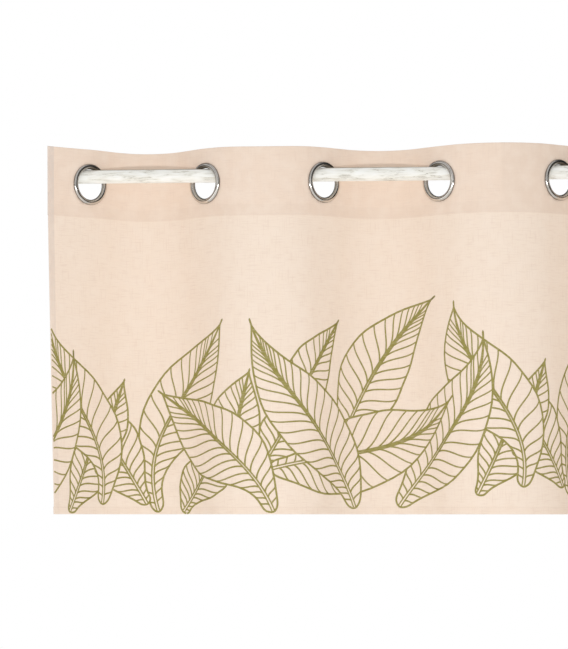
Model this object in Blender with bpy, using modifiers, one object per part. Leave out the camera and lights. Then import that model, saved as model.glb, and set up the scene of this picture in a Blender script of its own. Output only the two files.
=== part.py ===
"""A short cotton eyelet curtain hanging in even waves from a round wooden rod.

Frame: metres, +Z up. The origin is the middle of the rod's left end face, +X runs
along the rod, and the front of the cloth faces -Y.
The cloth is a flat sheet bent round upright lines: at every eyelet it crosses the rod
in a straight stretch, and between two eyelets an arc carries it behind or in front.
"""

import bmesh
import bpy
from math import cos, pi, radians, sin

# Rod
ROD_RADIUS = 0.009
ROD_OVERHANG = 0.040  # past the middle of the first and of the last eyelet
ROD_CHAMFER = 0.001
ROD_SIDES = 32

# Cloth as cut and sewn, lying flat
FLAT_WIDTH = 1.400
FLAT_PITCH = 0.180  # from eyelet to eyelet
FLAT_MARGIN = 0.070  # from the end eyelets to the side edges
DROP = 0.478  # top edge to hem at the left side
HEADING_DEPTH = 0.090
HEADING_THICKNESS = 0.003  # two layers of cloth and the band between them
PANEL_THICKNESS = 0.002

# Cloth as it hangs
HUNG_PITCHES = (0.1519, 0.1554, 0.1515, 0.1571, 0.1535, 0.1525, 0.1545)
TOP_SAGS = (0.0021, 0.0024, 0.0008, 0.0003, 0.0015, 0.0010, 0.0018)  # in the same gaps
FOLD_ANGLE_HEADING = radians(42.0)  # cloth to rod where it crosses the rod
FOLD_ANGLE_HEM = radians(50.0)  # the folds grow rounder towards the hem
SIDE_STRAIGHT = 0.030  # from the end eyelet, before the side edge turns forward
SIDE_CURL_RADIUS = 0.330
HEM_FALL = 0.0078  # the hem drops this much for each metre to the right

# Eyelet, radii about its own axis and places along it, the front being positive
BORE_RADIUS = 0.0204
RING_RADIUS = 0.027
BARREL_WALL = 0.0013
RING_BELOW_ROD = 0.0101  # axis of the rod to the middle of a ring that hangs on it
RING_BELOW_TOP = 0.046
CLOTH_HOLE_RADIUS = 0.0225
BARREL_PAST_CLOTH = 0.0004  # how far the barrel reaches behind the cloth
FRONT_FLARE = (0.0009, 0.00135)  # the bore widens by the first over the second, in front
BACK_FLARE = (0.00055, 0.0009)  # the same at the barrel's end
FRONT_DOME = 0.0028
BACK_DOME = 0.0016
GAP = 0.0003
RING_STEPS = 28
DOME_STEPS = 4

# Mesh density
COLUMNS = 112
HEADING_ROWS = 4
PANEL_ROWS = 12

EYELETS = len(HUNG_PITCHES) + 1
EYELET_X = [ROD_OVERHANG + sum(HUNG_PITCHES[:k]) for k in range(EYELETS)]
EYELET_Z = -RING_BELOW_ROD
TOP_Z = EYELET_Z + RING_BELOW_TOP
ROD_LENGTH = EYELET_X[-1] + ROD_OVERHANG


def straight_run(pitch, angle):
    """Length of cloth that lies straight beside an eyelet, so that the gap has its pitch."""
    chord = sin(angle) / angle
    return (FLAT_PITCH * chord - pitch) / (2 * (chord - cos(angle)))


def half_fold(run, straight, radius, angle):
    """Along and across for a run of cloth that leaves an eyelet straight, then bends back."""
    if run <= straight:
        return run * cos(angle), run * sin(angle)
    turned = angle - (run - straight) / radius
    along = straight * cos(angle) + radius * (sin(angle) - sin(turned))
    across = straight * sin(angle) + radius * (cos(turned) - cos(angle))
    return along, across


def cloth_place(u, angle):
    """X and Y of the cloth at the distance u from its left edge, measured on the flat cloth."""
    from_first = u - FLAT_MARGIN
    gap = int(from_first // FLAT_PITCH)
    if from_first < 0:
        along, across = half_fold(-from_first, SIDE_STRAIGHT, -SIDE_CURL_RADIUS, angle)
        return EYELET_X[0] - along, -across
    if gap >= len(HUNG_PITCHES):
        past = from_first - FLAT_PITCH * len(HUNG_PITCHES)
        along, across = half_fold(past, SIDE_STRAIGHT, -SIDE_CURL_RADIUS, angle)
        return EYELET_X[-1] + along, -across
    run = from_first - gap * FLAT_PITCH
    pitch = HUNG_PITCHES[gap]
    straight = straight_run(pitch, angle)
    radius = (FLAT_PITCH - 2 * straight) / (2 * angle)
    along, across = half_fold(min(run, FLAT_PITCH - run), straight, radius, angle)
    if run > FLAT_PITCH / 2:
        along = pitch - along
    side = 1 if gap % 2 == 0 else -1
    return EYELET_X[gap] + along, side * across


def top_sag(u):
    """How far the top edge drops between two eyelets."""
    from_first = u - FLAT_MARGIN
    gap = int(from_first // FLAT_PITCH)
    if not 0 <= gap < len(TOP_SAGS):
        return 0.0
    share = from_first / FLAT_PITCH - gap
    return TOP_SAGS[gap] * (1 - cos(2 * pi * share)) / 2


def cloth_point(u, down):
    """A point of the middle of the cloth, by the distances from the left and the top edge."""
    below = max(0.0, down - HEADING_DEPTH) / (DROP - HEADING_DEPTH)
    angle = FOLD_ANGLE_HEADING + (FOLD_ANGLE_HEM - FOLD_ANGLE_HEADING) * below
    x, y = cloth_place(u, angle)
    share = down / DROP
    top = TOP_Z - top_sag(u)
    hem = TOP_Z - DROP - HEM_FALL * x
    return x, y, top + (hem - top) * share


def plain_material(name, colour, roughness, metallic=0.0):
    material = bpy.data.materials.new(name)
    material.use_nodes = True
    shader = material.node_tree.nodes["Principled BSDF"]
    shader.inputs["Base Color"].default_value = (*colour, 1)
    shader.inputs["Roughness"].default_value = roughness
    shader.inputs["Metallic"].default_value = metallic
    return material


def keep(obj, collection, material=None):
    """Move the object to its collection and give it its material."""
    for other in list(obj.users_collection):
        other.objects.unlink(obj)
    collection.objects.link(obj)
    if material:
        obj.data.materials.append(material)
    return obj


def cloth_sheet(name, top, bottom, rows, thickness, collection, material):
    """The stretch of cloth between two distances from the top edge."""
    bpy.ops.mesh.primitive_grid_add(x_subdivisions=COLUMNS, y_subdivisions=rows, size=1)
    obj = keep(bpy.context.object, collection, material)
    obj.name = name
    for vertex in obj.data.vertices:
        u = (vertex.co.x + 0.5) * FLAT_WIDTH
        down = top + (0.5 - vertex.co.y) * (bottom - top)
        vertex.co = cloth_point(u, down)
    obj.data.shade_smooth()
    wall = obj.modifiers.new("Thickness", "SOLIDIFY")
    wall.thickness = thickness
    wall.offset = 0
    wall.use_even_offset = True
    return obj


def eyelet_turn(k):
    """Rotation that lays a ring on the cloth, its own Z towards the front."""
    side = 1 if k % 2 == 0 else -1
    return pi / 2, 0, side * FOLD_ANGLE_HEADING


def profile_mesh(name, outline):
    """A closed outline of radius and height, at +X, for turning about Z."""
    shape = bmesh.new()
    corners = [shape.verts.new((radius, 0, height)) for radius, height in outline]
    for first, second in zip(corners, corners[1:] + corners[:1]):
        shape.edges.new((first, second))
    mesh = bpy.data.meshes.new(name)
    shape.to_mesh(mesh)
    shape.free()
    return mesh


def domed_outline(inner, outer, base, rise):
    """A ring section with a rounded top, clockwise."""
    middle = (inner + outer) / 2
    half = (outer - inner) / 2
    angles = [pi * i / DOME_STEPS for i in range(DOME_STEPS + 1)]
    return [(middle - half * cos(a), base + rise * sin(a)) for a in angles]


def front_outline(seat):
    """The domed rim with the barrel behind it, flared at both ends so that the rod clears it."""
    front_wider, front_depth = FRONT_FLARE
    back_wider, back_depth = BACK_FLARE
    end = -seat - BARREL_PAST_CLOTH
    wall = BORE_RADIUS + BARREL_WALL
    dome = domed_outline(BORE_RADIUS + front_wider, RING_RADIUS, seat, FRONT_DOME)
    return [(BORE_RADIUS + back_wider, end), (BORE_RADIUS, end + back_depth),
            (BORE_RADIUS, seat - front_depth), *dome, (wall, seat), (wall, end)]


def turned_ring(name, mesh, k, collection, material):
    """One ring, turned from its profile and laid on the cloth at eyelet k."""
    obj = bpy.data.objects.new(name, mesh)
    collection.objects.link(obj)
    obj.location = EYELET_X[k], 0, EYELET_Z
    obj.rotation_euler = eyelet_turn(k)
    turn = obj.modifiers.new("Turned", "SCREW")
    turn.steps = RING_STEPS
    turn.render_steps = RING_STEPS
    turn.use_merge_vertices = True
    turn.merge_threshold = 0.00001
    if not mesh.materials:
        mesh.materials.append(material)
    return obj


def build_rod(collection, material):
    bpy.ops.mesh.primitive_cylinder_add(
        vertices=ROD_SIDES, radius=ROD_RADIUS, depth=ROD_LENGTH,
        location=(ROD_LENGTH / 2, 0, 0), rotation=(0, pi / 2, 0))
    rod = keep(bpy.context.object, collection, material)
    rod.name = "rod"
    rod.data.shade_smooth()
    rod.data.set_sharp_from_angle(angle=radians(40))
    edge = rod.modifiers.new("Chamfer", "BEVEL")
    edge.width = ROD_CHAMFER
    edge.segments = 1
    edge.angle_limit = radians(60)


def build_cloth(collection, cutters, material):
    heading = cloth_sheet("heading_strip", 0, HEADING_DEPTH - GAP / 2, HEADING_ROWS,
                          HEADING_THICKNESS, collection, material)
    for k in range(EYELETS):
        bpy.ops.mesh.primitive_cylinder_add(
            vertices=RING_STEPS, radius=CLOTH_HOLE_RADIUS, depth=RING_RADIUS,
            location=(EYELET_X[k], 0, EYELET_Z), rotation=eyelet_turn(k))
        cutter = keep(bpy.context.object, cutters)
        cutter.name = f"eyelet_hole_{k + 1}"
        cutter.hide_render = True
        cutter.display_type = "WIRE"
    holes = heading.modifiers.new("Eyelet holes", "BOOLEAN")
    holes.operation = "DIFFERENCE"
    holes.solver = "EXACT"
    holes.operand_type = "COLLECTION"
    holes.collection = cutters
    cloth_sheet("curtain_panel", HEADING_DEPTH + GAP / 2, DROP, PANEL_ROWS,
                PANEL_THICKNESS, collection, material)


def build_eyelets(collection, material):
    seat = HEADING_THICKNESS / 2 + GAP
    front = profile_mesh("front_ring", front_outline(seat))
    washer_inner = BORE_RADIUS + BARREL_WALL + GAP
    back = profile_mesh("back_ring", [
        (radius, -height)
        for radius, height in reversed(domed_outline(washer_inner, RING_RADIUS, seat, BACK_DOME))])
    for k in range(EYELETS):
        turned_ring(f"eyelet_front_{k + 1}", front, k, collection, material)
        turned_ring(f"eyelet_back_{k + 1}", back, k, collection, material)


def main():
    for obj in list(bpy.data.objects):
        bpy.data.objects.remove(obj, do_unlink=True)
    parts = bpy.data.collections.new("eyelet curtain and rod")
    cutters = bpy.data.collections.new("cutters")
    for collection in (parts, cutters):
        bpy.context.scene.collection.children.link(collection)
    cotton = plain_material("cotton", (0.88, 0.72, 0.58), 0.95)
    chrome = plain_material("chrome", (0.72, 0.71, 0.69), 0.12, metallic=1.0)
    wood = plain_material("whitewashed wood", (0.82, 0.80, 0.74), 0.70)
    build_rod(parts, wood)
    build_cloth(parts, cutters, cotton)
    build_eyelets(parts, chrome)


main()
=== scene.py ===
import bpy
import bmesh
import random
from math import atan2, cos, exp, hypot, log, pi, radians, sin
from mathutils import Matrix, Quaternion, Vector


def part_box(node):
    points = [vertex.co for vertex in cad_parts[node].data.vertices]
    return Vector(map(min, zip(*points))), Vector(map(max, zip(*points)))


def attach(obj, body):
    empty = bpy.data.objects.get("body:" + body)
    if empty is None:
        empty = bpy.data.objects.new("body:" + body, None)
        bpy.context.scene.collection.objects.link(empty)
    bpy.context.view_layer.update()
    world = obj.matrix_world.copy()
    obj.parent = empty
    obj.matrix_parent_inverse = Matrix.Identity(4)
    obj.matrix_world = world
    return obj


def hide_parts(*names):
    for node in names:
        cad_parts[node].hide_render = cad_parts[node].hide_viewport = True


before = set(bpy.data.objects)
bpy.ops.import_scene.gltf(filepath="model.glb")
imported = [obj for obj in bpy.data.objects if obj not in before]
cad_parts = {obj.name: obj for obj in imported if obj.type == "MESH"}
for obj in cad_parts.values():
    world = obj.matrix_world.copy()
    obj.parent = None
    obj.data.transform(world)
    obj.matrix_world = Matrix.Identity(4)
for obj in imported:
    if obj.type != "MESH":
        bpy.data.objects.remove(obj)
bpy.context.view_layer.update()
mm = 0.001

# the cloth as cut, and the waves it hangs in, the same as the solids'
curtain = {
    "flatWidth": 1400 * mm,
    "flatPitch": 180 * mm,  # eyelet to eyelet on the flat cloth
    "flatMargin": 70 * mm,  # end eyelets to the side edges
    "drop": 478 * mm,
    "headingDepth": 90 * mm,
    "headingTurn": 15 * mm,  # raw edge of the heading, turned in
    "hem": 10 * mm,
    "hungPitches": (0.1519, 0.1554, 0.1515, 0.1571, 0.1535, 0.1525, 0.1545),
    "topSags": (0.0021, 0.0024, 0.0008, 0.0003, 0.0015, 0.0010, 0.0018),  # in the same gaps
    "foldAngleHeading": radians(42),  # cloth to rod where it crosses the rod
    "foldAngleHem": radians(50),  # the folds grow rounder towards the hem
    "sideStraight": 30 * mm,  # from the end eyelets, before the side edges curl
    "sideCurlRadius": 330 * mm,
    "hemFall": 0.0078,  # drop for each metre to the right
    "rodOverhang": 40 * mm,
    "thickness": 0.5 * mm,
    "layerGap": 0.75 * mm,  # middle of one layer to the middle of the next
    "backLayer": 1.55,  # the heading's back layer behind its front, in layer gaps
    "foldFlat": 1.2 * mm,  # the cloth is flat again this far from a fold
    "holeRadius": 22.6 * mm,
    "puckerReach": 30 * mm,  # small waves in the cloth round each eyelet
    "puckerHeight": 0.35 * mm,
    "columns": 276,
    "frontRows": 92,
    "backRows": 16,
}
eyeletCount = len(curtain["hungPitches"]) + 1
rodLow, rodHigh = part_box("rod")
rodRadius = (rodHigh.z - rodLow.z) / 2
rodMiddleZ = (rodHigh.z + rodLow.z) / 2
ringLow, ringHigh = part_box("eyelet_front_1")
ringZ = (ringLow.z + ringHigh.z) / 2
ringRadius = (ringHigh.z - ringLow.z) / 2
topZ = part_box("heading_strip")[1].z
eyeletX = [curtain["rodOverhang"] + sum(curtain["hungPitches"][:k])
           for k in range(eyeletCount)]
ringBelowTop = topZ - ringZ


def halfFold(run, straight, radius, angle):
    # along and across the rod after a run: straight off it, then round an arc
    if run <= straight:
        return run * cos(angle), run * sin(angle)
    turned = angle - (run - straight) / radius
    along = straight * cos(angle) + radius * (sin(angle) - sin(turned))
    across = straight * sin(angle) + radius * (cos(turned) - cos(angle))
    return along, across


def planPlace(u, angle):
    # where the cloth runs in plan, from the distance u along the flat cloth
    pitches = curtain["hungPitches"]
    flatPitch = curtain["flatPitch"]
    fromFirst = u - curtain["flatMargin"]
    gap = int(fromFirst // flatPitch)
    if not 0 <= gap < len(pitches):
        # past the end eyelets the side edges curl forward
        past = -fromFirst if gap < 0 else fromFirst - flatPitch * len(pitches)
        along, across = halfFold(past, curtain["sideStraight"], -curtain["sideCurlRadius"],
                                 angle)
        return eyeletX[0] - along if gap < 0 else eyeletX[-1] + along, -across
    run = fromFirst - gap * flatPitch
    chord = sin(angle) / angle
    straight = (flatPitch * chord - pitches[gap]) / (2 * (chord - cos(angle)))
    radius = (flatPitch - 2 * straight) / (2 * angle)
    along, across = halfFold(min(run, flatPitch - run), straight, radius, angle)
    if run > flatPitch / 2:
        along = pitches[gap] - along
    return eyeletX[gap] + along, across if gap % 2 == 0 else -across


def smoothCloth(u, down):
    # the hung cloth without its creases
    depth, drop, angle = (curtain[k] for k in ("headingDepth", "drop", "foldAngleHeading"))
    below = max(0.0, down - depth) / (drop - depth)
    angle += (curtain["foldAngleHem"] - angle) * below
    x, y = planPlace(u, angle)
    fromFirst = u - curtain["flatMargin"]
    gap = int(fromFirst // curtain["flatPitch"])
    sag = 0.0
    if 0 <= gap < len(curtain["topSags"]):
        share = fromFirst / curtain["flatPitch"] - gap
        sag = curtain["topSags"][gap] * (1 - cos(2 * pi * share)) / 2
    top = topZ - sag
    hem = topZ - drop - curtain["hemFall"] * x
    return Vector((x, y, top + (hem - top) * down / drop))


# soft troughs and ridges in the cloth: two ends (u, down), half width and height, in mm
creases = (
    ((20, 96), (128, 112), 9, -0.5),
    ((96, 98), (230, 104), 7, 0.4),
    ((205, 95), (260, 150), 12, 0.6),
    ((290, 96), (420, 101), 6, -0.4),
    ((330, 120), (352, 236), 16, -0.9),
    ((402, 150), (396, 300), 20, 0.8),
    ((455, 98), (600, 106), 7, 0.4),
    ((560, 130), (582, 260), 18, -0.7),
    ((640, 100), (770, 97), 6, -0.4),
    ((700, 150), (716, 330), 20, 0.8),
    ((820, 110), (842, 300), 18, -0.8),
    ((930, 96), (1060, 104), 7, 0.4),
    ((1010, 140), (990, 330), 20, 0.7),
    ((1150, 120), (1168, 290), 16, -0.8),
    ((1270, 98), (1390, 108), 8, -0.5),
    ((60, 300), (92, 440), 16, 0.7),
    ((236, 250), (228, 430), 18, -0.7),
    ((520, 330), (500, 460), 16, 0.7),
    ((880, 330), (868, 470), 18, -0.7),
    ((1240, 280), (1262, 450), 18, 0.8),
)


def creaseHeight(u, down):
    height = 0.0
    for (u0, d0), (u1, d1), width, rise in creases:
        du, dd = u1 - u0, d1 - d0
        length = hypot(du, dd)
        pu, pd = u / mm - u0, down / mm - d0
        share = (pu * du + pd * dd) / length ** 2
        if not -0.3 < share < 1.3:  # a crease dies away just past its ends
            continue
        away = (pu * dd - pd * du) / length
        taper = exp(-((share - 0.5) / 0.42) ** 4)
        height += rise * mm * taper * exp(-(away / width) ** 2)
    # the cloth puckers a little round each eyelet
    for k in range(eyeletCount):
        pu = u - curtain["flatMargin"] - k * curtain["flatPitch"]
        pd = down - ringBelowTop
        reach = hypot(pu, pd) - ringRadius
        if 0 < reach < curtain["puckerReach"]:
            waves = sin(7 * atan2(pd, pu) + 2.1 * k)
            fade = sin(pi * reach / curtain["puckerReach"]) ** 2
            height += curtain["puckerHeight"] * waves * fade
    return height


def clothPoint(u, down, out=0.0):
    # a point of the hung cloth, out to its front by the given distance
    step = 0.5 * mm
    across = smoothCloth(u + step, down) - smoothCloth(u - step, down)
    upward = smoothCloth(u, down - step) - smoothCloth(u, down + step)
    front = across.cross(upward).normalized()
    return smoothCloth(u, down) + front * (out + creaseHeight(u, down))


def deselectAll():
    for obj in list(bpy.context.selected_objects):
        obj.select_set(False)


def startPiece(name, material, hides=()):
    piece = bpy.context.object
    piece.name = name
    piece.data.name = name
    piece.data.materials.clear()
    piece.data.materials.append(material)
    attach(piece, "root")
    if hides:
        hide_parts(*hides)
    return piece


def meshPiece(name, verts, faces, material):
    deselectAll()
    mesh = bpy.data.meshes.new(name)
    mesh.from_pydata(verts, [], faces)
    piece = bpy.data.objects.new(name, mesh)
    bpy.context.scene.collection.objects.link(piece)
    bpy.context.view_layer.objects.active = piece
    return startPiece(name, material)


def applyModifiers(piece):
    deselectAll()
    piece.select_set(True)
    bpy.context.view_layer.objects.active = piece
    for modifier in list(piece.modifiers):
        bpy.ops.object.modifier_apply(modifier=modifier.name)


def nodeTree(name):
    material = bpy.data.materials.new(name)
    material.use_nodes = True
    tree = material.node_tree
    return material, tree, tree.nodes["Principled BSDF"]


def plug(tree, node, inputs):
    for key, value in inputs.items():
        if isinstance(value, bpy.types.NodeSocket):
            tree.links.new(value, node.inputs[key])
        else:
            node.inputs[key].default_value = value


def addNode(tree, kind, inputs=None, **settings):
    node = tree.nodes.new(kind)
    for key, value in settings.items():
        setattr(node, key, value)
    plug(tree, node, inputs or {})
    return node


def linear(red, green, blue):
    # a colour as seen on a screen, 0 to 255, in the shader's own units
    parts = [c / 255 for c in (red, green, blue)]
    return (*[c / 12.92 if c <= 0.04045 else ((c + 0.055) / 1.055) ** 2.4 for c in parts], 1)


def darker(colour, share):
    return (*[c * share for c in colour[:3]], 1)


def mixColours(tree, share, first, second):
    return addNode(tree, "ShaderNodeMix", {0: share, 6: first, 7: second},
                   data_type="RGBA").outputs[2]


def rangeOf(tree, value, low, high, toLow=0.0, toHigh=1.0):
    return addNode(tree, "ShaderNodeMapRange",
                   {0: value, 1: low, 2: high, 3: toLow, 4: toHigh}).outputs[0]


def maths(tree, operation, value, *others):
    for other in others or (0.0,):
        value = addNode(tree, "ShaderNodeMath", {0: value, 1: other},
                        operation=operation).outputs[0]
    return value


def awayFrom(tree, value, middle):
    return maths(tree, "ABSOLUTE", maths(tree, "SUBTRACT", value, middle))


def noiseOf(tree, coords, scale, detail, distortion=0.0, **settings):
    return addNode(tree, "ShaderNodeTexNoise",
                   {"Vector": coords, "Scale": scale, "Detail": detail,
                    "Distortion": distortion}, **settings).outputs["Fac"]


def bumpOf(tree, height, depth, strength):
    return addNode(tree, "ShaderNodeBump",
                   {"Strength": strength, "Distance": depth, "Height": height}).outputs[0]


cotton = {
    "single": linear(247, 229, 212),
    # the heading and hems are painted darker where the cloth lies doubled or tripled: painted
    # shade for the light the extra layers hold back
    "doubleLayerShade": linear(243, 222, 204),
    "tripleLayerShade": linear(238, 217, 199),
    "sideHemShade": linear(229, 213, 201),
    "slub": linear(235, 213, 196),
    "pale": linear(250, 234, 219),
    "facingFrom": 700 * mm,  # from here on a second strip of facing stiffens the heading
    "facingBlur": 4 * mm,
    "facingShadeShare": 0.8,  # how much of its painted shade shows, for the light the extra layer holds back
    "turnShadeShare": 0.55,  # and those of the painted shade of the heading's turned-in edge and the lower hem
    "hemShadeShare": 0.4,
    "headingBlur": 0.4 * mm,  # how softly the tone changes at its lower edge and at the hems
    "turnBlur": 0.6 * mm,
    "weftSlubs": (60, 700),  # scale of the thick places, along and across the cloth
    "warpSlubs": (650, 45),
    "thread": 0.55 * mm,  # pitch of the warp and weft
    "roughness": 0.92,
    "sheen": 0.12,
    "weaveDepth": 0.05 * mm,
}


def clothUv(tree):
    uv = addNode(tree, "ShaderNodeUVMap", uv_map="cloth").outputs[0]
    split = addNode(tree, "ShaderNodeSeparateXYZ", {0: uv})
    return uv, split.outputs[0], split.outputs[1]


def slubNoise(tree, uv, scale, detail=2.0):
    # thick places in the yarn, drawn out along one thread direction
    scaled = addNode(tree, "ShaderNodeMapping", {0: uv, 3: (*scale, 1)}).outputs[0]
    return noiseOf(tree, scaled, 1.0, detail, noise_dimensions="2D")


def toneEdge(tree, place, line, blur, before=0.0, after=1.0):
    # from one share to another across a line on the cloth
    return rangeOf(tree, place, line - blur, line + blur, before, after)


def weaveColour(tree, uv, u, down):
    weft = slubNoise(tree, uv, cotton["weftSlubs"])
    warp = slubNoise(tree, uv, cotton["warpSlubs"])
    patches = slubNoise(tree, uv, (55, 55), 3.0)
    depth, hem, blur = curtain["headingDepth"], curtain["hem"], cotton["turnBlur"]
    # painted shade: darker where the cloth lies in two or three layers, at the heading, its
    # turned-in edge, the facing strip and the hems
    facing = rangeOf(tree, u, cotton["facingFrom"], cotton["facingFrom"] + cotton["facingBlur"],
                     0.0, cotton["facingShadeShare"])
    headingShade = mixColours(tree, facing, cotton["doubleLayerShade"], cotton["tripleLayerShade"])
    turned = toneEdge(tree, down, depth - curtain["headingTurn"], blur, 0.0, cotton["turnShadeShare"])
    headingShade = mixColours(tree, turned, headingShade, cotton["tripleLayerShade"])
    heading = toneEdge(tree, down, depth, cotton["headingBlur"])
    tone = mixColours(tree, heading, headingShade, cotton["single"])
    bottomHemShade = toneEdge(tree, down, curtain["drop"] - hem, blur, 0.0, cotton["hemShadeShare"])
    tone = mixColours(tree, bottomHemShade, tone, cotton["doubleLayerShade"])
    middle = curtain["flatWidth"] / 2
    edgeGap = maths(tree, "SUBTRACT", middle, awayFrom(tree, u, middle))
    # painted shade of the side hems, less and less below the heading
    sideHemShade = maths(tree, "MULTIPLY", toneEdge(tree, edgeGap, hem, blur, 1.0, 0.0),
                    rangeOf(tree, down, 50 * mm, 300 * mm, 1.0, 0.35))
    tone = mixColours(tree, sideHemShade, tone, cotton["sideHemShade"])
    for yarn, low, high, share in ((weft, 0.52, 0.78, 0.55), (warp, 0.55, 0.8, 0.5)):
        tone = mixColours(tree, rangeOf(tree, yarn, low, high, 0.0, share), tone, cotton["slub"])
    tone = mixColours(tree, rangeOf(tree, patches, 0.4, 0.75, 0.0, 0.35), tone, cotton["pale"])
    return tone, weft, warp


def weaveHeight(tree, u, down, weft, warp):
    # plain weave: warp and weft threads pass over each other in turn
    turns = 2 * pi / (2 * cotton["thread"])
    over = [maths(tree, "SINE", maths(tree, "MULTIPLY", place, turns)) for place in (u, down)]
    threads = maths(tree, "ABSOLUTE", maths(tree, "MULTIPLY", *over))
    slubs = maths(tree, "MULTIPLY", maths(tree, "ADD", weft, warp), 0.8)
    return maths(tree, "ADD", threads, slubs)


def cottonMaterial():
    material, tree, shader = nodeTree("cotton plain weave")
    uv, u, down = clothUv(tree)
    tone, weft, warp = weaveColour(tree, uv, u, down)
    weave = weaveHeight(tree, u, down, weft, warp)
    plug(tree, shader, {"Base Color": tone, "Roughness": cotton["roughness"],
                        "Normal": bumpOf(tree, weave, cotton["weaveDepth"], 0.5),
                        "Specular IOR Level": 0.15, "Sheen Weight": cotton["sheen"],
                        "Sheen Roughness": 0.5})
    return material


# the turn of a hem's fold: how far in from its edge, and how far back in layer gaps
hemTurn = ((1.0 * mm, 1.0), (0.2 * mm, 0.75), (0.0, 0.4), (0.3 * mm, 0.08))


def sheetRows():
    # down, out and side of the cloth at each row, from the raw edge in the hem, up the front,
    # over the top fold and down the back of the heading to its own turned-in edge
    gap, flat, back = curtain["layerGap"], curtain["foldFlat"], curtain["backLayer"]
    drop, depth, turn, hem = (curtain[k] for k in ("drop", "headingDepth", "headingTurn", "hem"))
    rows = [(drop - hem + 0.5 * mm, -gap, 1), (drop - hem / 2, -gap, 1)]
    rows += [(drop - inward, -gap * behind, 1) for inward, behind in hemTurn]
    steps = curtain["frontRows"]
    rows += [(drop - flat - (drop - 2 * flat) * i / steps, 0.0, 1) for i in range(steps + 1)]
    rows += [(0.3 * mm, -gap * 0.1, 1), (0.0, -gap * 0.75, 0), (0.3 * mm, -gap * 1.4, -1)]
    steps = curtain["backRows"]
    rows += [(flat + (depth - 2 * flat) * i / steps, -gap * back, -1) for i in range(steps + 1)]
    rows += [(depth - 0.2 * mm, -gap * 1.35, -1), (depth - 0.2 * mm, -gap * 0.95, 1)]
    rows += [(depth - flat - (turn - flat) * i / 3, -gap * 0.75, 1) for i in range(4)]
    return rows


def sheetColumns():
    # along and out of the cloth at each column, with a hem turned back at either side
    gap, hem, wide = curtain["layerGap"], curtain["hem"], curtain["flatWidth"]
    flat, steps = curtain["foldFlat"], curtain["columns"]
    turned = [(hem, -gap), (hem / 2, -gap)]
    turned += [(inward, -gap * behind) for inward, behind in hemTurn]
    front = [(flat + (wide - 2 * flat) * i / steps, 0.0) for i in range(steps + 1)]
    return turned + front + [(wide - u, out) for u, out in reversed(turned)]


def cutEyeletHoles(mesh, placeOf):
    # cloth inside each eyelet is cut out, the cut drawn to a round
    holeRadius = curtain["holeRadius"]
    holes = [(curtain["flatMargin"] + k * curtain["flatPitch"], ringBelowTop)
             for k in range(eyeletCount)]
    inside = []
    for face in mesh.faces:
        u = sum(placeOf[v][0] for v in face.verts) / 4
        down = sum(placeOf[v][1] for v in face.verts) / 4
        if any(hypot(u - hu, down - hd) < holeRadius for hu, hd in holes):
            inside.append(face)
    bmesh.ops.delete(mesh, geom=inside, context="FACES")
    for vert in mesh.verts:
        if not vert.is_boundary:
            continue
        place = placeOf[vert]
        for hu, hd in holes:
            du, dd = place[0] - hu, place[1] - hd
            away = hypot(du, dd)
            if away < holeRadius + 6 * mm:
                place[0] = hu + du * holeRadius / away
                place[1] = hd + dd * holeRadius / away


def makeCloth(material):
    rows, columns = sheetRows(), sheetColumns()
    deselectAll()
    bpy.ops.mesh.primitive_grid_add(x_subdivisions=len(columns) - 1,
                                    y_subdivisions=len(rows) - 1, size=1)
    piece = startPiece("curtainCloth", material, ("curtain_panel", "heading_strip"))
    mesh = bmesh.new()
    mesh.from_mesh(piece.data)
    placeOf = {}
    for vert in mesh.verts:
        u, columnOut = columns[round((vert.co.x + 0.5) * (len(columns) - 1))]
        down, rowOut, side = rows[round((vert.co.y + 0.5) * (len(rows) - 1))]
        placeOf[vert] = [u, down, rowOut + side * columnOut]
    cutEyeletHoles(mesh, placeOf)
    uvLayer = mesh.loops.layers.uv.new("cloth")
    for face in mesh.faces:
        for loop in face.loops:
            loop[uvLayer].uv = placeOf[loop.vert][:2]
    for vert in mesh.verts:
        vert.co = clothPoint(*placeOf[vert])
    mesh.to_mesh(piece.data)
    mesh.free()
    wall = piece.modifiers.new("cloth thickness", "SOLIDIFY")
    wall.thickness = curtain["thickness"]
    wall.offset = 0
    applyModifiers(piece)
    bpy.ops.object.shade_smooth()
    print("cloth hung:", len(piece.data.polygons), "faces")
    return piece


leafPrint = {
    "repeat": 635 * mm,
    "risePerRepeat": 22 * mm,  # the print was laid a little off the thread
    "repeats": (-1, 3),  # the first one, and the one after the last
    "outlineWidth": 2.5 * mm,
    "veinWidth": 2.0 * mm,
    "midribHalf": 2.6 * mm,
    "midribSlit": 0.95 * mm,  # half of the bare stripe up the lower midrib
    "tipSpike": 1 * mm,
    "rimWave": (0.02, 0.035),  # unevenness of the rim, least and most
    "tipLean": 15,  # degrees off the midrib at the tip, and added to it at the foot
    "footLean": 47,
    "leanTurnsAt": 0.52,  # share up the midrib where the lean changes, and how gently
    "leanTurnsOver": 0.10,
    "leanUneven": 3,
    "rimGap": 5 * mm,  # least distance between veins at the rim
    "step": 2.2 * mm,
    "lift": 0.15 * mm,  # ink over the face of the cloth
    "sinkPerLeaf": 0.002 * mm,  # a leaf behind others lies a little lower
    "ink": linear(149, 140, 76),
    "inkWorn": linear(163, 153, 93),
    "edge": 1.0 * mm,
}
leafColumns = ("base", "tip", "sway", "left", "right", "veins")
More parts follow.
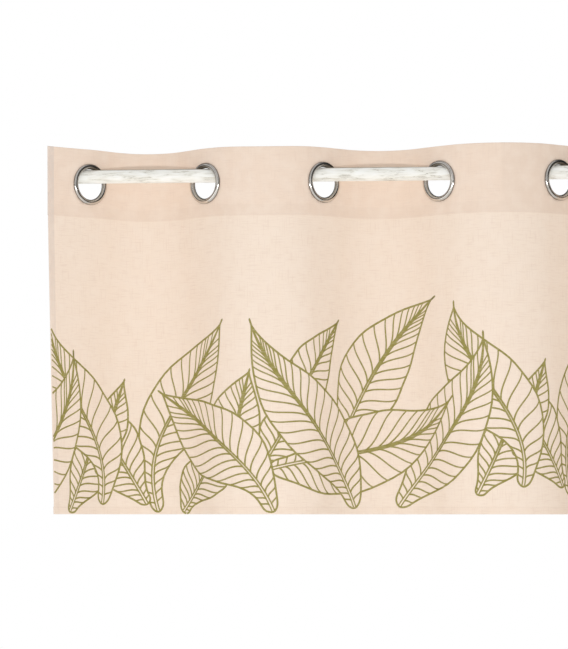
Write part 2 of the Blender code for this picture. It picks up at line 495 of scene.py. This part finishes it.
# nearest leaf first, in mm along and down the flat cloth; the midrib sways to its right by so
# much a third and two thirds of the way up; each side has its width and where it is widest
leafRows = (
    ((480, 470), (320, 225), (25, -30), (48, 0.50), (46, 0.40), 21),
    ((350, 475), (170, 315), (40, 5), (53, 0.55), (43, 0.45), 19),
    ((345, 420), (630, 325), (5, 60), (48, 0.55), (50, 0.40), 19),
    ((-95, 490), (40, 265), (5, 60), (50, 0.50), (46, 0.45), 18),
    ((90, 465), (-2, 225), (55, -30), (50, 0.60), (46, 0.45), 17),
    ((80, 425), (125, 300), (0, 0), (25, 0.45), (25, 0.50), 12),
    ((155, 465), (60, 325), (5, 5), (38, 0.45), (38, 0.55), 16),
    ((170, 475), (280, 225), (-80, -5), (40, 0.55), (50, 0.55), 19),
    ((285, 425), (320, 290), (0, 0), (43, 0.50), (32, 0.45), 13),
    ((365, 350), (455, 225), (0, 0), (34, 0.45), (35, 0.30), 13),
    ((450, 400), (600, 195), (-10, -35), (45, 0.50), (43, 0.45), 18),
    ((205, 475), (285, 375), (0, 0), (32, 0.40), (41, 0.60), 15),
    ((330, 425), (400, 310), (0, 0), (28, 0.45), (35, 0.45), 14),
    ((30, 475), (90, 335), (5, 5), (25, 0.50), (42, 0.50), 15),
)


def leafWidth(share, widest):
    # half the blade's width against its widest: a small round foot, then a waist, the full
    # middle, and a blade that ends a little before its thin drawn-out point
    foot = 0.25 * (1 - exp(-share / 0.02)) * exp(-share / 0.13)
    point = 0.03 * max(0.0, 1 - share)
    blade = min(1.0, share / 0.97)
    turn = pi * blade ** (log(0.5) / log(widest))
    return foot + point + abs(sin(turn)) ** (1.15 + 0.75 * (1 - share) ** 4)


def layLeaf(row, repeat, seed):
    leaf = dict(zip(leafColumns, row))
    rnd = random.Random(seed)
    shift = Vector((leafPrint["repeat"], -leafPrint["risePerRepeat"])) * repeat
    base, tip = (Vector(leaf[k]) * mm + shift for k in ("base", "tip"))
    way = (tip - base).normalized()
    aside = Vector((-way.y, way.x))
    length = (tip - base).length
    low = base + way * length / 3 + aside * leaf["sway"][0] * mm
    high = tip - way * length / 3 + aside * leaf["sway"][1] * mm
    wave, waveAt = rnd.uniform(*leafPrint["rimWave"]), rnd.uniform(0, 6.28)

    def place(share, off):
        # a point of the leaf from its share up the midrib and its distance to the right
        rest = 1 - share
        spine = base * rest ** 3 + low * 3 * share * rest ** 2
        spine += high * 3 * share ** 2 * rest + tip * share ** 3
        along = (low - base) * rest ** 2 + (high - low) * 2 * share * rest
        along = (along + (tip - high) * share ** 2).normalized()
        return spine + Vector((-along.y, along.x)) * off

    def rim(share, side):
        half, widest = leaf["left" if side < 0 else "right"]
        uneven = 1 + wave * sin(11 * share + waveAt + side)
        uneven += wave * 0.5 * sin(29 * share + 2 * waveAt)
        return side * half * mm * leafWidth(share, widest) * uneven

    return {"place": place, "rim": rim, "length": length, "veins": leaf["veins"], "random": rnd}


def leafOutline(leaf):
    shares = [0.5 - 0.5 * cos(pi * i / 36) for i in range(37)]
    left = [leaf["place"](s, leaf["rim"](s, -1)) for s in shares]
    right = [leaf["place"](s, leaf["rim"](s, 1)) for s in shares]
    return right + left[-2:0:-1]


def bezier(p0, p1, p2, p3, count):
    return [p0 * (1 - t) ** 3 + p1 * 3 * t * (1 - t) ** 2 + p2 * 3 * t * t * (1 - t) + p3 * t ** 3
            for t in [i / count for i in range(count + 1)]]


def midribStrokes(leaf):
    # two tapering halves with a bare slit between them low down, and a drawn-out point
    place, half, slit = leaf["place"], leafPrint["midribHalf"], leafPrint["midribSlit"]
    strokes = []
    for side in (-1, 1):
        points, widths = [], []
        for s in [i / 60 for i in range(61)]:
            outer = half * (1 - 0.65 * max(0.0, (s - 0.7) / 0.3) ** 1.4)
            inner = max(0.0, slit * (1 - s / 0.52))
            points.append(place(s, side * (outer + inner) / 2))
            widths.append(outer - inner)
        strokes.append((points, widths))
    spike = leafPrint["tipSpike"] / leaf["length"]
    strokes.append(([place(1 + spike * k / 4, 0) for k in range(-6, 5)],
                    [(3.0 - 0.22 * k) * mm for k in range(11)]))
    return strokes


def veinLean(start, rnd):
    # the angle at which a vein leaves the midrib, narrower towards the tip
    turned = (start - leafPrint["leanTurnsAt"]) / leafPrint["leanTurnsOver"]
    lean = leafPrint["tipLean"] + leafPrint["footLean"] / (1 + exp(turned))
    return radians(lean + rnd.uniform(-leafPrint["leanUneven"], leafPrint["leanUneven"]))


def veinEnds(leaf, side):
    # how far up the midrib each vein starts and how far up the rim it ends, as shares
    place, rim, rnd, count = (leaf[k] for k in ("place", "rim", "random", "veins"))
    starts, ends = [], []
    for k in range(count):
        share = (k + rnd.uniform(0.35, 0.65)) / count
        # closer together at the foot and the tip
        share -= 0.25 * sin(2 * pi * share) / (2 * pi)
        start = 0.02 + 0.85 * share
        root = place(start, side * leafPrint["midribHalf"] * 0.5)
        along = place(start + 0.01, 0) - place(start - 0.01, 0)
        lean = veinLean(start, rnd)
        # up the rim until the vein leans as much as it should
        end = start
        while end < 0.985 and along.angle(place(end, rim(end, side)) - root, 0) > lean:
            end += 0.004
        starts.append(start)
        ends.append(end)
    for k in range(3 * count):
        # no two veins crowd together at the rim
        k %= count
        if 0 < k < count - 1:
            ends[k] = (ends[k - 1] + 2 * ends[k] + ends[k + 1]) / 4
    return zip(starts, ends)


def swung(run, angle):
    return Vector((run.x * cos(angle) + run.y * sin(angle),
                   run.y * cos(angle) - run.x * sin(angle)))


def veinStrokes(leaf, side):
    place, rim, rnd = leaf["place"], leaf["rim"], leaf["random"]
    strokes = []
    lastReach = place(0, 0)
    for start, end in veinEnds(leaf, side):
        root = place(start, side * leafPrint["midribHalf"] * 0.5)
        reach = place(end, rim(end, side))
        run = reach - root
        if run.length < 3 * mm or (reach - lastReach).length < leafPrint["rimGap"]:
            continue
        lastReach = reach
        curl = (0.5 - 0.42 * start) * rnd.uniform(0.75, 1.25) * side  # straighter near the tip
        points = bezier(root, root + swung(run, curl) * 0.36,
                        reach - swung(run, curl * 0.9) * 0.3, reach, 24)
        width = leafPrint["veinWidth"] * (1 - 0.3 * start ** 3)
        strokes.append((points, [width * (1.12 - 0.2 * i / 24) for i in range(25)]))
    return strokes


def leafStrokes(leaf):
    # every stroke of one leaf, as a run of middle points with a width at each
    outline = leafOutline(leaf)
    rim = (outline + outline[:1], [leafPrint["outlineWidth"]] * (len(outline) + 1))
    return [rim, *midribStrokes(leaf), *veinStrokes(leaf, -1), *veinStrokes(leaf, 1)]


def insideOutline(point, outline, box):
    x, y = point
    if not (box[0] < x < box[1] and box[2] < y < box[3]):
        return False
    inside = False
    before = outline[-1]
    for corner in outline:
        if (corner.y > y) != (before.y > y):
            cross = corner.x + (y - corner.y) * (before.x - corner.x) / (before.y - corner.y)
            if x < cross:
                inside = not inside
        before = corner
    return inside


def outlineBox(outline):
    xs, ys = [p.x for p in outline], [p.y for p in outline]
    return min(xs), max(xs), min(ys), max(ys)


def boxesMeet(one, other):
    return one[0] < other[1] and one[1] > other[0] and one[2] < other[3] and one[3] > other[2]


def shows(point, nearer):
    edge = leafPrint["edge"]
    onCloth = edge < point.x < curtain["flatWidth"] - edge and point.y < curtain["drop"] - edge
    return onCloth and not any(insideOutline(point, *shape) for shape in nearer)


def evenStroke(points, widths):
    # the same stroke with its points a set step apart
    lengths = [0.0]
    for i in range(1, len(points)):
        lengths.append(lengths[-1] + (points[i] - points[i - 1]).length)
    count = max(2, round(lengths[-1] / leafPrint["step"]))
    even, at = [], 0
    for k in range(count + 1):
        aim = lengths[-1] * k / count
        while at < len(points) - 2 and lengths[at + 1] < aim:
            at += 1
        part = (aim - lengths[at]) / max(1e-9, lengths[at + 1] - lengths[at])
        even.append((points[at].lerp(points[at + 1], part),
                     widths[at] + (widths[at + 1] - widths[at]) * part))
    return even


def visibleRuns(stroke, nearer):
    # the stretches of a stroke that no nearer leaf covers, ended right at its outline
    runs, run, before = [], [], None
    for point, width in stroke:
        seen = shows(point, nearer)
        if before is not None and seen != before[2]:
            clear, hidden = (point, before[0]) if seen else (before[0], point)
            for halving in range(6):
                middle = (clear + hidden) / 2
                if shows(middle, nearer):
                    clear = middle
                else:
                    hidden = middle
            run.append((clear, width))
            if not seen:
                runs.append(run)
                run = []
        if seen:
            run.append((point, width))
        before = (point, width, seen)
    if run:
        runs.append(run)
    return [r for r in runs if len(r) > 1]


def addRibbon(run, out, verts, places, faces):
    # a flat ribbon of ink along the cloth
    first = len(verts)
    for i, (point, width) in enumerate(run):
        ahead = run[min(i + 1, len(run) - 1)][0] - run[max(i - 1, 0)][0]
        if ahead.length < 1e-7:
            ahead = Vector((1, 0))
        aside = Vector((-ahead.y, ahead.x)).normalized() * width / 2
        for spot in (point + aside, point - aside):
            places.append((spot.x, spot.y))
            verts.append(clothPoint(spot.x, spot.y, out))
        if i:
            a = first + 2 * i
            faces.append((a - 2, a, a + 1, a - 1))


def makePrint(material):
    verts, places, faces = [], [], []
    nearer = []
    rank = 0
    for number, row in enumerate(leafRows):
        for repeat in range(*leafPrint["repeats"]):
            leaf = layLeaf(row, repeat, 31 * number + 7)
            outline = leafOutline(leaf)
            box = outlineBox(outline)
            if box[1] < 0 or box[0] > curtain["flatWidth"]:
                continue
            rank += 1
            out = curtain["thickness"] / 2 + leafPrint["lift"] - rank * leafPrint["sinkPerLeaf"]
            near = [shape for shape in nearer if boxesMeet(shape[1], box)]
            for points, widths in leafStrokes(leaf):
                for run in visibleRuns(evenStroke(points, widths), near):
                    addRibbon(run, out, verts, places, faces)
            nearer.append((outline, box))
    piece = meshPiece("leafPrint", verts, faces, material)
    uvLayer = piece.data.uv_layers.new(name="cloth")
    for loop in piece.data.loops:
        uvLayer.data[loop.index].uv = places[loop.vertex_index]
    print("leaves printed:", rank, "leaves,", len(faces), "faces")
    return piece


sewing = {
    "pitch": 3.0 * mm,
    "stitch": 2.3 * mm,
    "thread": 0.38 * mm,
    "headingSeam": 88 * mm,  # down from the top fold
    "sideSeam": 8.5 * mm,  # in from the side edges
    "hemSeam": 8.5 * mm,  # up from the bottom fold
    "endGap": 1 * mm,  # a seam stops this far from an edge
    "colour": linear(238, 219, 203),
    # along a stitch in stitch lengths, its width in threads and its rise in mm
    "arch": ((-0.5, 0.2, -0.10), (-0.36, 0.9, 0.10), (0.0, 1.0, 0.16), (0.36, 0.9, 0.10),
             (0.5, 0.2, -0.10)),
    # across the thread: place against its half width, and how far below its top in mm
    "section": ((1, 0.12), (0.4, 0), (-0.4, 0), (-1, 0.12)),
}


def stitchAlong(start, end, verts, faces):
    # a row of short stitches, each a low arch of thread between its two needle holes
    startAt, endAt = Vector(start), Vector(end)
    run = endAt - startAt
    way = run.normalized()
    aside = Vector((-way.y, way.x)) * sewing["thread"] / 2
    face = curtain["thickness"] / 2
    for k in range(int(run.length / sewing["pitch"])):
        middle = startAt + way * sewing["pitch"] * (k + 0.5)
        first = len(verts)
        for along, width, rise in sewing["arch"]:
            spot = middle + way * sewing["stitch"] * along
            for side, low in sewing["section"]:
                edge = spot + aside * width * side
                verts.append(clothPoint(edge.x, edge.y, face + (rise - low) * mm))
        for i in range(len(sewing["arch"]) - 1):
            a = first + 4 * i
            for j in range(3):
                faces.append((a + j, a + j + 4, a + j + 5, a + j + 1))


def makeStitches(material):
    verts, faces = [], []
    wide, hem = curtain["flatWidth"], curtain["drop"] - sewing["hemSeam"]
    side, heading, gap = (sewing[k] for k in ("sideSeam", "headingSeam", "endGap"))
    stitchAlong((gap, heading), (wide - gap, heading), verts, faces)
    stitchAlong((gap, hem), (wide - gap, hem), verts, faces)
    for u in (side, wide - side):
        stitchAlong((u, heading + 2 * gap), (u, hem - 2 * gap), verts, faces)
    print("seams sewn:", len(faces), "faces")
    return meshPiece("stitches", verts, faces, material)


eyelet = {
    "segments": 96,
    "arcSteps": 8,
    "rim": 3.2 * mm,  # height of the front rim over the cloth
    "rimBack": 1.7 * mm,
    "outer": ringRadius + 0.1 * mm,
    "bore": 20.0 * mm,
    "mouthEnd": -0.3 * mm,  # the mouth narrows to the bore down to here
    "barrelOuter": 21.6 * mm,
    "lip": 0.5 * mm,  # straight outer edge of the rim
    "groove": 0.4 * mm,  # pressed in round the top of the rim, between band and mouth
    "seatGap": 0.05 * mm,  # a ring stands this far off the cloth
    "metal": linear(222, 217, 211),
    # painted shade and a painted dark reflection on the rings
    "paintedShade": linear(66, 59, 53),
    "edgeShade": 0.65,  # share of the painted shade at the outer edge, of the painted shade and dark reflection round the groove, and of the painted shade down the mouth
    "grooveShade": 0.65,
    "mouthShade": (0.15, 0.5),
    "roughness": 0.14,
}


def rimProfile(height, barrelEnd):
    # radius and height round the section: outer edge, domed band, groove, wide mouth, barrel
    bore, outer, lip, barrelOuter = (eyelet[k] for k in ("bore", "outer", "lip", "barrelOuter"))
    crown = (bore + outer) / 2
    mouth, groove = eyelet["mouthEnd"], eyelet["groove"]
    section = [(outer - 0.5 * mm, 0.0), (outer - 0.1 * mm, 0.15 * mm), (outer, lip)]
    steps = eyelet["arcSteps"]
    for i in range(1, steps):
        turn = pi / 2 * i / steps
        section.append((crown + (outer - crown) * cos(turn), lip + (height - lip) * sin(turn)))
    section += [(crown + 0.25 * mm, height), (crown, height - groove),
                (crown - 0.25 * mm, height - 0.03 * mm)]
    for i in range(2, steps + 1):
        turn = pi / 2 * i / steps
        section.append((crown - (crown - bore) * sin(turn), mouth + (height - mouth) * cos(turn)))
    section += [(bore, barrelEnd + 0.7 * mm), (bore + 0.45 * mm, barrelEnd),
                (barrelOuter, barrelEnd), (barrelOuter, -0.2 * mm),
                (barrelOuter + 0.2 * mm, 0.0)]
    return section


def washerProfile(height):
    # the plain domed washer on the back, snapped over the barrel
    inner, outer = eyelet["barrelOuter"] + 0.3 * mm, eyelet["outer"]
    steps = eyelet["arcSteps"]
    dome = [(inner + (outer - inner) * i / (2 * steps),
             height * sin(pi * i / (2 * steps)) ** 0.7) for i in range(2 * steps + 1)]
    return [(outer - 0.3 * mm, -0.1 * mm), (inner + 0.2 * mm, -0.1 * mm)] + dome


def modelRing(name, section):
    # a circle drawn out, loop by loop, through the section
    deselectAll()
    radius, height = section[0]
    bpy.ops.mesh.primitive_circle_add(vertices=eyelet["segments"], radius=radius,
                                      location=(0, 0, height))
    ring = bpy.context.object
    ring.name = name
    bpy.ops.object.mode_set(mode="EDIT")
    bpy.ops.mesh.select_all(action="SELECT")
    for nextRadius, nextHeight in section[1:] + section[:1]:
        bpy.ops.mesh.extrude_region_move(
            TRANSFORM_OT_translate={"value": (0, 0, nextHeight - height)})
        grow = nextRadius / radius
        bpy.ops.transform.resize(value=(grow, grow, 1), center_override=(0, 0, 0))
        radius, height = nextRadius, nextHeight
    bpy.ops.mesh.select_all(action="SELECT")
    bpy.ops.mesh.remove_doubles(threshold=0.00001)
    bpy.ops.mesh.normals_make_consistent(inside=False)
    bpy.ops.object.mode_set(mode="OBJECT")
    bpy.ops.object.shade_smooth_by_angle(angle=radians(50))
    # radius and height round the section, for the painted shade
    sectionMap = ring.data.uv_layers.new(name="section")
    for loop in ring.data.loops:
        x, y, z = ring.data.vertices[loop.vertex_index].co
        sectionMap.data[loop.index].uv = hypot(x, y), z
    return ring


def makeEyelets(material):
    # one front ring and one back ring are modelled, then copied to each place
    backFace = -curtain["layerGap"] * curtain["backLayer"] - curtain["thickness"] / 2
    frontFace = curtain["thickness"] / 2
    front = modelRing("ringFront", rimProfile(eyelet["rim"], backFace - frontFace))
    back = modelRing("ringBack", washerProfile(eyelet["rimBack"]))
    sides = ((front, "Front", frontFace, 1), (back, "Back", backFace, -1))
    pieces = []
    for k in range(eyeletCount):
        for model, label, seat, facing in sides:
            deselectAll()
            ring = model.copy()
            ring.data = model.data.copy()
            bpy.context.scene.collection.objects.link(ring)
            bpy.context.view_layer.objects.active = ring
            ring.select_set(True)
            tilt = curtain["foldAngleHeading"] * (1 if k % 2 == 0 else -1)
            outward = Vector((sin(tilt), -cos(tilt), 0))
            ring.rotation_euler = (facing * pi / 2, 0, tilt)
            ring.location = Vector((eyeletX[k], 0, ringZ))
            ring.location += outward * (seat + facing * eyelet["seatGap"])
            bpy.ops.object.transform_apply(location=True, rotation=True, scale=True)
            pieces.append(startPiece(f"eyelet{label}{k + 1}", material,
                                     (f"eyelet_{label.lower()}_{k + 1}",)))
    for model in (front, back):
        bpy.data.objects.remove(model)
    print("eyelets fitted:", len(pieces))
    return pieces


def paintedShadeShare(tree, radius):
    # painted shade and dark reflection: most at the outer edge and round the groove, and more the
    # deeper down the mouth
    bore, outer = eyelet["bore"], eyelet["outer"]
    crown = (bore + outer) / 2
    atEdge = rangeOf(tree, radius, outer - 0.7 * mm, outer - 0.1 * mm, 0.0,
                     eyelet["edgeShade"])
    inMouth = rangeOf(tree, radius, bore + 1.5 * mm, bore + 0.2 * mm, *eyelet["mouthShade"])
    inMouth = maths(tree, "MULTIPLY", inMouth,
                    rangeOf(tree, radius, crown + 0.3 * mm, crown + 0.1 * mm))
    atGroove = rangeOf(tree, awayFrom(tree, radius, crown - 0.4 * mm), 0.4 * mm, 0.9 * mm,
                       eyelet["grooveShade"], 0.0)
    return maths(tree, "MAXIMUM", atEdge, inMouth, atGroove)


def metalMaterial():
    material, tree, shader = nodeTree("polished eyelet metal")
    coords = addNode(tree, "ShaderNodeTexCoord").outputs["Object"]
    scratches = noiseOf(tree, coords, 420.0, 4.0)
    smears = noiseOf(tree, coords, 90.0, 2.0)
    tone = mixColours(tree, rangeOf(tree, smears, 0.35, 0.7), eyelet["metal"],
                      darker(eyelet["metal"], 0.78))
    section = addNode(tree, "ShaderNodeUVMap", uv_map="section").outputs[0]
    radius = addNode(tree, "ShaderNodeSeparateXYZ", {0: section}).outputs[0]
    # painted shade and dark reflection mixed over the metal
    tone = mixColours(tree, paintedShadeShare(tree, radius), tone, eyelet["paintedShade"])
    rough = eyelet["roughness"]
    plug(tree, shader, {
        "Base Color": tone, "Metallic": 1.0,
        "Roughness": rangeOf(tree, scratches, 0.3, 0.75, rough * 0.6, rough * 1.7),
        "Normal": bumpOf(tree, scratches, 0.02 * mm, 0.25)})
    return material


rod = {
    "segments": 64,
    "lengths": 60,
    "chamfer": 1.0 * mm,
    "uneven": 0.18 * mm,  # how far the turned wood strays from round
    "swell": 0.25 * mm,  # the wash adds this much to the bare wood
    "wash": linear(253, 253, 249),
    "thinWash": linear(241, 239, 230),
    "grain": linear(196, 186, 168),
    # bare wood in the grain lines, and the colour of the painted shadow line along the top
    "bareWoodAndShadow": linear(108, 92, 64),
    "shadowLineFrom": 0.83,  # where the painted shadow line starts and where it is full, in shares of the radius up from the middle
    "shadowLineFull": 0.91,
}


def makeRod(material):
    deselectAll()
    length = rodHigh.x - rodLow.x
    radius = rodRadius + rod["swell"] - rod["uneven"]
    middle = (rodHigh + rodLow) / 2
    bpy.ops.mesh.primitive_cylinder_add(vertices=rod["segments"], radius=radius, depth=length,
                                        location=middle, rotation=(0, pi / 2, 0))
    bpy.ops.object.transform_apply(location=True, rotation=True, scale=True)
    piece = startPiece("rodWood", material, ("rod",))
    bpy.ops.object.mode_set(mode="EDIT")
    bpy.ops.mesh.select_all(action="DESELECT")
    bpy.ops.mesh.select_mode(type="FACE")
    bpy.ops.object.mode_set(mode="OBJECT")
    for face in piece.data.polygons:
        face.select = abs(face.normal.x) > 0.9
    bpy.ops.object.mode_set(mode="EDIT")
    bpy.ops.mesh.bevel(offset=rod["chamfer"], segments=3, affect="EDGES")
    for k in range(1, rod["lengths"]):
        bpy.ops.mesh.select_all(action="SELECT")
        at = rodLow.x + length * k / rod["lengths"]
        bpy.ops.mesh.bisect(plane_co=(at, 0, 0), plane_no=(1, 0, 0))
    bpy.ops.object.mode_set(mode="OBJECT")
    # the turned wood is nowhere quite round
    for vert in piece.data.vertices:
        x, y, z = vert.co
        y, z = y - middle.y, z - middle.z
        turn = atan2(z, y)
        swell = sin(17 * x + 2 * turn) + 0.7 * sin(41 * x - turn + 1.3)
        swell += 0.5 * sin(93 * x + 3 * turn)
        away = hypot(y, z)
        if away > radius * 0.8:
            grow = 1 + rod["uneven"] * 0.45 * swell / away
            vert.co.y, vert.co.z = middle.y + y * grow, middle.z + z * grow
    deselectAll()
    piece.select_set(True)
    bpy.ops.object.shade_smooth_by_angle(angle=radians(40))
    print("rod turned:", len(piece.data.polygons), "faces")


def woodMaterial():
    material, tree, shader = nodeTree("whitewashed wood")
    coords = addNode(tree, "ShaderNodeTexCoord").outputs["Object"]

    def streaks(along, across, detail):
        drawn = addNode(tree, "ShaderNodeMapping", {0: coords, 3: (along, across, across)})
        return noiseOf(tree, drawn.outputs[0], 1.0, detail, 0.4)

    fine, broad, patches = streaks(40, 1400, 4.0), streaks(30, 700, 3.0), streaks(40, 190, 2.0)
    # a dark line wherever the broad grain passes its middle value, where the wash has gone
    lines = rangeOf(tree, awayFrom(tree, broad, 0.5), 0.0, 0.028, 0.8, 0.0)
    lines = maths(tree, "MULTIPLY", lines, rangeOf(tree, patches, 0.5, 0.62))
    grain = maths(tree, "MULTIPLY", rangeOf(tree, fine, 0.52, 0.7, 0.0, 0.45),
                  rangeOf(tree, patches, 0.42, 0.6))
    # a painted shadow line along the very top of the rod, in the colour of bare wood
    height = addNode(tree, "ShaderNodeSeparateXYZ", {0: coords}).outputs[2]
    shadowLine = rangeOf(tree, height, rodMiddleZ + rodRadius * rod["shadowLineFrom"],
                     rodMiddleZ + rodRadius * rod["shadowLineFull"], 0.0, 0.9)
    shadowLine = maths(tree, "MULTIPLY", shadowLine, rangeOf(tree, fine, 0.3, 0.55, 0.5, 1.0))
    tone = mixColours(tree, rangeOf(tree, patches, 0.35, 0.7), rod["wash"], rod["thinWash"])
    tone = mixColours(tree, grain, tone, rod["grain"])
    tone = mixColours(tree, maths(tree, "MAXIMUM", lines, shadowLine), tone, rod["bareWoodAndShadow"])
    relief = maths(tree, "SUBTRACT", maths(tree, "MULTIPLY", fine, 0.4),
                   maths(tree, "ADD", grain, lines))
    plug(tree, shader, {"Base Color": tone, "Specular IOR Level": 0.3,
                        "Roughness": rangeOf(tree, patches, 0.3, 0.7, 0.62, 0.78),
                        "Normal": bumpOf(tree, relief, 0.15 * mm, 0.6)})
    return material


def inkMaterial():
    material, tree, shader = nodeTree("printed leaf ink")
    uv, u, down = clothUv(tree)
    weft = slubNoise(tree, uv, cotton["weftSlubs"])
    warp = slubNoise(tree, uv, cotton["warpSlubs"])
    patches = slubNoise(tree, uv, (180, 180), 3.0)
    tone = mixColours(tree, rangeOf(tree, patches, 0.35, 0.7), leafPrint["ink"],
                      leafPrint["inkWorn"])
    tone = mixColours(tree, rangeOf(tree, weft, 0.55, 0.8, 0.0, 0.3), tone, cotton["slub"])
    weave = weaveHeight(tree, u, down, weft, warp)
    plug(tree, shader, {"Base Color": tone, "Roughness": 0.85, "Specular IOR Level": 0.15,
                        "Normal": bumpOf(tree, weave, cotton["weaveDepth"], 0.45)})
    return material


def threadMaterial():
    material, tree, shader = nodeTree("cotton sewing thread")
    coords = addNode(tree, "ShaderNodeTexCoord").outputs["Object"]
    fuzz = noiseOf(tree, coords, 900.0, 2.0)
    tone = mixColours(tree, rangeOf(tree, fuzz, 0.3, 0.7), sewing["colour"],
                      darker(sewing["colour"], 0.9))
    plug(tree, shader, {"Base Color": tone, "Roughness": 0.8,
                        "Normal": bumpOf(tree, fuzz, 0.05 * mm, 0.3)})
    return material


studio = {
    "distance": 4.3,  # camera to rod
    "cameraX": 0.3949,
    "cameraZ": -0.4502,
    "yaw": -0.0235,
    "pitch": 0.0589,
    "roll": -0.0075,
    "lens": 182.55,
    "sky": 0.60,
    "frontWall": 0.82,  # the walls that light the cloth, dimmer in front
    "sideWall": 1.38,
    "below": 3.3,  # the room as the polished rings see it: lit floor, ceiling, high up behind,
    "above": 1.1,  # far to the right and far to the left
    "behind": 0.25,
    "rightSide": 0.06,
    "leftSide": 0.9,
    "dark": 0.12,  # the unlit parts of the studio against its white walls
    "floor": linear(246, 245, 242),
    "floorSize": 9,
    "floorPlace": (0.58, 0.4, -1.35),
}


def stage():
    deselectAll()
    bpy.ops.mesh.primitive_plane_add(size=studio["floorSize"], location=studio["floorPlace"])
    floor = bpy.context.object
    floor.name = "studioFloor"
    material, tree, shader = nodeTree("pale studio floor")
    plug(tree, shader, {"Base Color": studio["floor"], "Roughness": 0.85})
    floor.data.materials.append(material)


# place, aim, size and power of each lamp; the strip stands low, so that the shadow of the rod
# shows just over it, and the fill lights the back of the cloth and the floor but no ring
lamps = {
    "softFront": ((-0.05, -1.25, -0.5), (0.1, 0, -0.2), (0.7, 0.9), 1.0),
    "stripFront": ((0.3, -2.0, -0.42), (0.3, 0, -0.2), (1.6, 0.10), 13.0),
    "fillBehind": ((0.58, 1.8, 2.2), (0.58, 0.2, -0.6), (2.4, 1.6), 18.0),
}


def areaLight(name, place, target, size, power):
    light = bpy.data.lights.new(name, "AREA")
    light.shape = "RECTANGLE"
    light.size, light.size_y = size
    light.energy = power
    lamp = bpy.data.objects.new(name, light)
    bpy.context.scene.collection.objects.link(lamp)
    lamp.location = place
    lamp.rotation_euler = (Vector(target) - Vector(place)).to_track_quat("-Z", "Y").to_euler()


def studioWalls(tree):
    # the walls that light the cloth grow brighter from the front round to the sides
    way = addNode(tree, "ShaderNodeTexCoord").outputs["Generated"]
    sideways, forward, upward = addNode(tree, "ShaderNodeSeparateXYZ", {0: way}).outputs
    wall = rangeOf(tree, forward, -0.85, -0.1, studio["frontWall"], studio["sideWall"])
    # what the polished rings pick up: a lit floor, a dimmer ceiling, darkness high up behind,
    # a dark opening in front, a dark foot of the walls, two door gaps and a dark right side
    lift = rangeOf(tree, upward, -0.1, 0.3, studio["below"], studio["above"])
    behind = maths(tree, "MINIMUM", rangeOf(tree, upward, 0.2, 0.45, 1.0, studio["behind"]),
                   rangeOf(tree, sideways, -0.3, 0.3, 0.6, studio["dark"]))
    behind = maths(tree, "MAXIMUM", rangeOf(tree, forward, 0.0, 0.3, 1.0, 0.0), behind)
    opening = rangeOf(tree, forward, -0.975, -0.94, studio["dark"], 1.0)
    footLine = rangeOf(tree, awayFrom(tree, upward, -0.02), 0.05, 0.09, studio["dark"] * 2, 1.0)
    fromGap = awayFrom(tree, maths(tree, "ABSOLUTE", sideways), 0.62)
    doorGap = rangeOf(tree, fromGap, 0.05, 0.08, studio["dark"] * 2, 1.0)
    dark = maths(tree, "MINIMUM", opening, footLine, doorGap)
    sides = maths(tree, "MINIMUM",
                  rangeOf(tree, sideways, 0.6, 0.8, 1.0, studio["rightSide"]),
                  rangeOf(tree, sideways, -0.75, -0.92, 1.0, studio["leftSide"]))
    mirrored = maths(tree, "MULTIPLY", lift, behind, dark, sides)
    glossy = addNode(tree, "ShaderNodeLightPath").outputs["Is Glossy Ray"]
    seen = maths(tree, "ADD", maths(tree, "MULTIPLY", glossy, mirrored),
                 maths(tree, "MULTIPLY", maths(tree, "SUBTRACT", 1.0, glossy), wall))
    return maths(tree, "MULTIPLY", seen, studio["sky"])


def lightStudio():
    scene = bpy.context.scene
    scene.view_settings.view_transform = "Standard"
    world = bpy.data.worlds.new("studio")
    scene.world = world
    world.use_nodes = True
    tree = world.node_tree
    surround = tree.nodes["Background"]
    plug(tree, surround, {"Color": (1, 1, 1, 1), "Strength": studioWalls(tree)})
    # seen straight, the surround is plain white
    backdrop = addNode(tree, "ShaderNodeBackground", {"Color": (1, 1, 1, 1), "Strength": 1.0})
    seenStraight = addNode(tree, "ShaderNodeLightPath").outputs["Is Camera Ray"]
    chooser = addNode(tree, "ShaderNodeMixShader",
                      {0: seenStraight, 1: surround.outputs[0], 2: backdrop.outputs[0]})
    plug(tree, tree.nodes["World Output"], {"Surface": chooser.outputs[0]})
    for name, lamp in lamps.items():
        areaLight(name, *lamp)
    bpy.data.objects["fillBehind"].visible_glossy = False
    print("studio lit")


def placeCamera():
    camera = bpy.data.cameras.new("camera")
    holder = bpy.data.objects.new("camera", camera)
    bpy.context.scene.collection.objects.link(holder)
    holder.location = studio["cameraX"], -studio["distance"], studio["cameraZ"]
    yaw, pitch = studio["yaw"], studio["pitch"]
    ahead = Vector((sin(yaw) * cos(pitch), cos(yaw) * cos(pitch), sin(pitch)))
    turn = ahead.to_track_quat("-Z", "Y") @ Quaternion((0, 0, 1), studio["roll"])
    holder.rotation_mode = "QUATERNION"
    holder.rotation_quaternion = turn
    camera.lens = studio["lens"]
    camera.sensor_width = 36
    camera.clip_end = 60
    bpy.context.scene.camera = holder


placeCamera()
lightStudio()
stage()
cloth = makeCloth(cottonMaterial())
leaves = makePrint(inkMaterial())
stitches = makeStitches(threadMaterial())
rings = makeEyelets(metalMaterial())
makeRod(woodMaterial())
